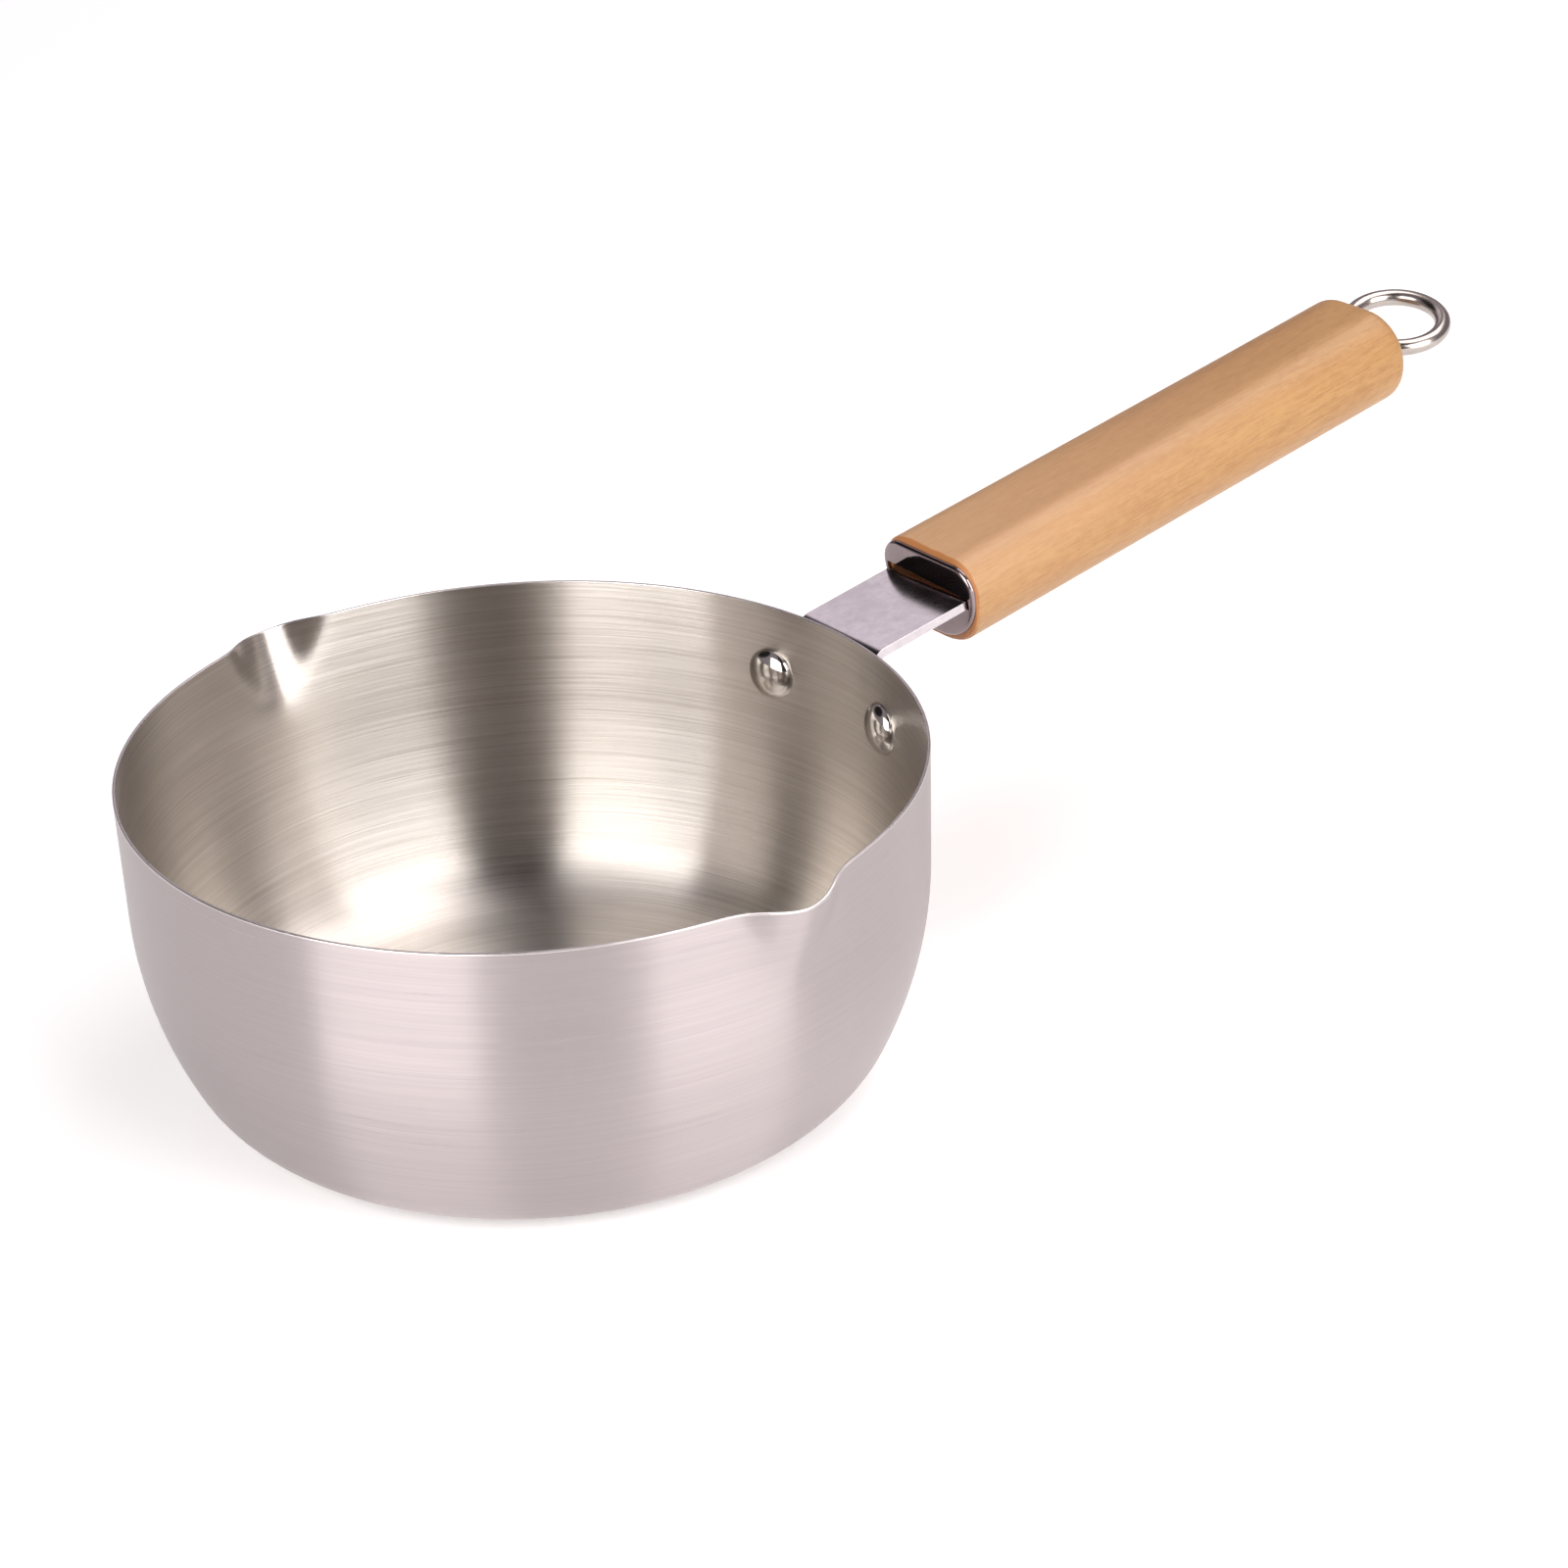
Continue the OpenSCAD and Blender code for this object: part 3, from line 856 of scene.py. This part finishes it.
def beech(name):
    """Oiled beech with a painted sheen, paler and pinker on top and in front, and painted shade
    darkening the front edge.
    """
    n = Nodes(name)
    n.set(IOR=1.45, Coat_Weight=0.12, Coat_Roughness=0.3)
    vector = n.object_vector()
    base, fibres = beech_ground(n, vector)
    along, _, height = n.parts(vector)
    # Painted sheen: the front and the top are mixed towards a pale pink, standing for light from above
    # glancing off the oiled wood.
    front = n.remap(along, GRIP_START, GRIP_START + GRIP_LEN * 0.8, 0.45, 0)
    upper = n.remap(height, GRIP_MID, GRIP_MID + GRIP_H / 2, 0, 1, smooth=True)
    painted_sheen = n.math("MULTIPLY", front, n.remap(upper, 0, 1, 0.4, 1))
    base = n.mix(painted_sheen, base, rgba(0.50, 0.305, 0.18))
    # Painted light: the upper side is made paler still, as light from above would make it.
    base = n.mix(n.math("MULTIPLY", upper, 0.25), base, rgba(0.48, 0.27, 0.135))
    # Painted shade: an uneven darker ring on the rounded front edge, where the wood meets the end plate.
    uneven = n.remap(n.noise(vector, 110, 1), 0.35, 0.65, -0.5, 0.6)
    edge = n.math("SUBTRACT", along, n.math("MULTIPLY", uneven, FRONT_LEN))
    chamfer = n.remap(edge, GRIP_START + FRONT_LEN * 0.6, GRIP_START + FRONT_LEN, 1, 0)
    base = n.mix(n.math("MULTIPLY", chamfer, 0.75), base, rgba(0.34, 0.115, 0.025))
    n.link(base, n.shader.inputs["Base Color"])
    n.link(n.remap(fibres, 0.3, 0.7, 0.38, 0.5), n.shader.inputs["Roughness"])
    n.link(n.bump(fibres, 0.06 * MM), n.shader.inputs["Normal"])
    return n.material


def painted_light_floor(name):
    """Pale matt sheet with painted light: it glows a little, and more far from the pan."""
    n = Nodes(name)
    n.set(Roughness=0.9, Specular_IOR_Level=0.1, Emission_Color=rgba(1.0, 1.0, 1.0))
    n.set(Base_Color=rgba(0.93, 0.93, 0.93))
    distance = n.tree.nodes.new("ShaderNodeVectorMath")
    distance.operation = "LENGTH"
    n.link(n.object_vector(), distance.inputs[0])
    # Painted light: emission that brightens the floor, more the farther it lies from the pan.
    glow = n.remap(distance.outputs["Value"], 0.5, 1.7, 0.22, 0.72, smooth=True)
    n.link(glow, n.shader.inputs["Emission Strength"])
    return n.material


# ======== studio ========

def direction(azimuth, elevation):
    """Unit vector towards a place seen from the bowl; azimuth 0 is the camera's side, turning right."""
    a, e = math.radians(CAM_AZIMUTH + azimuth), math.radians(elevation)
    return Vector((math.sin(a) * math.cos(e), -math.cos(a) * math.cos(e), math.sin(e)))


def panel(name, azimuth, elevation, distance, width, height, glow, tint):
    """Soft rectangular light that faces the bowl; glow is its radiance."""
    light = bpy.data.lights.new(name, "AREA")
    light.shape = "RECTANGLE"
    light.size, light.size_y = width, height
    light.energy = glow * math.pi * width * height
    light.color = tint
    lamp = bpy.data.objects.new(name, light)
    lamp.location = direction(azimuth, elevation) * distance + Vector((0, 0, 0.04))
    lamp.rotation_mode = "QUATERNION"
    lamp.rotation_quaternion = direction(azimuth, elevation).to_track_quat("Z", "Y")
    lamp.visible_camera = False
    bpy.context.scene.collection.objects.link(lamp)


def near_direction(tree, vector, towards, wide, narrow):
    """1 within the narrow angle of a direction, falling to 0 at the wide angle."""
    dot = tree.nodes.new("ShaderNodeVectorMath")
    dot.operation = "DOT_PRODUCT"
    tree.links.new(vector, dot.inputs[0])
    dot.inputs[1].default_value = towards
    ramp = tree.nodes.new("ShaderNodeMapRange")
    ramp.interpolation_type = "SMOOTHSTEP"
    tree.links.new(dot.outputs["Value"], ramp.inputs["Value"])
    ramp.inputs["From Min"].default_value = math.cos(math.radians(wide))
    ramp.inputs["From Max"].default_value = math.cos(math.radians(narrow))
    return ramp.outputs[0]


def level_vector(tree, vector):
    """A direction turned level, so that a patch near it becomes an upright strip."""
    cut = tree.nodes.new("ShaderNodeVectorMath")
    cut.operation = "MULTIPLY"
    tree.links.new(vector, cut.inputs[0])
    cut.inputs[1].default_value = (1, 1, 0)
    unit = tree.nodes.new("ShaderNodeVectorMath")
    unit.operation = "NORMALIZE"
    tree.links.new(cut.outputs[0], unit.inputs[0])
    return unit.outputs[0]


def tint_mix(tree, factor, first, second):
    """Mixes two colours; the first may be a colour or a socket."""
    node = tree.nodes.new("ShaderNodeMix")
    node.data_type = "RGBA"
    tree.links.new(factor, node.inputs[0])
    if isinstance(first, tuple):
        node.inputs[6].default_value = first
    else:
        tree.links.new(first, node.inputs[6])
    node.inputs[7].default_value = second
    return node.outputs[2]


def surroundings():
    """Pale room with a dark strip behind the camera and a dark patch high at the back left."""
    world = bpy.data.worlds.new("studio")
    world.use_nodes = True
    tree = world.node_tree
    background = tree.nodes["Background"]
    vector = tree.nodes.new("ShaderNodeTexCoord").outputs["Generated"]
    strip = near_direction(tree, level_vector(tree, vector), direction(7, 0), 26, 16)
    patch = near_direction(tree, vector, direction(-108, 38), 28, 20)
    dark = tree.nodes.new("ShaderNodeMath")
    dark.operation = "MAXIMUM"
    tree.links.new(strip, dark.inputs[0])
    tree.links.new(patch, dark.inputs[1])
    shade = tint_mix(tree, dark.outputs[0], rgba(0.29, 0.255, 0.28), rgba(0.02, 0.018, 0.017))
    seen = tree.nodes.new("ShaderNodeLightPath").outputs["Is Camera Ray"]
    tree.links.new(tint_mix(tree, seen, shade, rgba(0.95, 0.95, 0.95)), background.inputs["Color"])
    background.inputs["Strength"].default_value = 1.0
    bpy.context.scene.world = world


def build_floor():
    """Round pale floor with its top at Z = 0."""
    reach, steps = 6.0, 96
    turns = [2 * math.pi * k / steps for k in range(steps)]
    points = [(reach * math.cos(turn), reach * math.sin(turn), 0) for turn in turns]
    floor = new_piece("floor", points, [tuple(range(steps))])
    floor.data.materials.append(painted_light_floor("painted_light_floor"))


def place_camera():
    """Camera at the picture's viewing angle, placed from the middle of the rim."""
    back = direction(0, CAM_ELEVATION)
    right = (-back).cross(Vector((0, 0, 1))).normalized()
    up = right.cross(-back)
    roll = math.radians(CAM_ROLL)
    level_right, level_up = right, up
    right = level_right * math.cos(roll) - level_up * math.sin(roll)
    up = level_up * math.cos(roll) + level_right * math.sin(roll)
    data = bpy.data.cameras.new("camera")
    data.lens, data.sensor_width = CAM_LENS, SENSOR
    data.clip_start, data.clip_end = 0.05, 50
    camera = bpy.data.objects.new("camera", data)
    turn = Matrix((right, up, back)).transposed()
    place = Vector((0, 0, RIM_Z)) + right * AIM_RIGHT - up * AIM_DOWN + back * CAM_DISTANCE
    camera.matrix_world = Matrix.Translation(place) @ turn.to_4x4()
    bpy.context.scene.collection.objects.link(camera)
    bpy.context.scene.camera = camera


# ======== assembly ========

place_camera()
surroundings()
build_floor()
panel("left_box", -33.3, 24, 1.2, 0.95, 1.1, 5.0, (1.0, 0.985, 0.965))
panel("right_box", 52, 24, 1.2, 0.90, 1.1, 4.5, (1.0, 0.985, 0.965))
panel("back_box", -171, 38, 1.3, 0.55, 0.5, 0.75, (1.0, 0.94, 0.98))
panel("top_box", 128, 60, 1.3, 0.9, 0.9, 3.2, (1.0, 0.96, 0.95))

# Painted shade: the outside has darker base colours than the inside of the same steel, standing for the
# dimmer light on the outside.
OUTSIDE_PAINTED_SHADE = brushed_sheet("brushed_outside_painted_shade", rgba(0.44, 0.39, 0.39), rgba(0.40, 0.355, 0.36), 0.30, 0.25)
INSIDE = brushed_sheet("brushed_inside", rgba(0.69, 0.65, 0.61), rgba(0.57, 0.53, 0.49), 0.31, 1.0)
RIM_EDGE = polished("rim_edge", rgba(0.60, 0.56, 0.55), 0.24, 0.08)
BRACKET_STEEL = polished("bracket_steel", rgba(0.62, 0.575, 0.60), 0.12, 0.10, 0.80)
PLATE_STEEL = polished("plate_steel", rgba(0.29, 0.235, 0.24), 0.06, 0.04)
RIVET_STEEL = polished("rivet_steel", rgba(0.66, 0.63, 0.60), 0.10, 0.06)
WIRE_STEEL = polished("wire_steel", rgba(0.46, 0.415, 0.385), 0.2, 0.06)
NUT_STEEL = polished("nut_steel", rgba(0.60, 0.58, 0.55), 0.3, 0.1)
WOOD = beech("beech")


def finish_piece(piece, slot, nodes, *materials):
    """Materials, body and the CAD nodes that a piece stands for; the slot argument is not used."""
    for material in materials:
        piece.data.materials.append(material)
    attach(piece, "root")
    if nodes:
        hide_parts(*nodes)


finish_piece(build_bowl(), "bowl_steel", ["pan_body"], OUTSIDE_PAINTED_SHADE, INSIDE, RIM_EDGE)
finish_piece(build_bracket(), "bracket_steel", ["handle_bracket"], BRACKET_STEEL)
finish_piece(build_rivet("rivet_left_polished", 1), "rivet_steel", ["rivet_left"], RIVET_STEEL)
finish_piece(build_rivet("rivet_right_polished", -1), "rivet_steel", ["rivet_right"], RIVET_STEEL)
finish_piece(build_end_plate(), "plate_steel", ["ferrule_plate"], PLATE_STEEL)
finish_piece(build_grip(), "grip_wood", ["wooden_grip"], WOOD)
finish_piece(build_eye(), "wire_steel", ["ring_bolt"], WIRE_STEEL)
finish_piece(build_bolt(), "wire_steel", [], WIRE_STEEL)
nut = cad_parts["tie_nut"]
nut.data.materials.clear()
nut.data.materials.append(NUT_STEEL)

bpy.context.scene.view_settings.view_transform = "Standard"
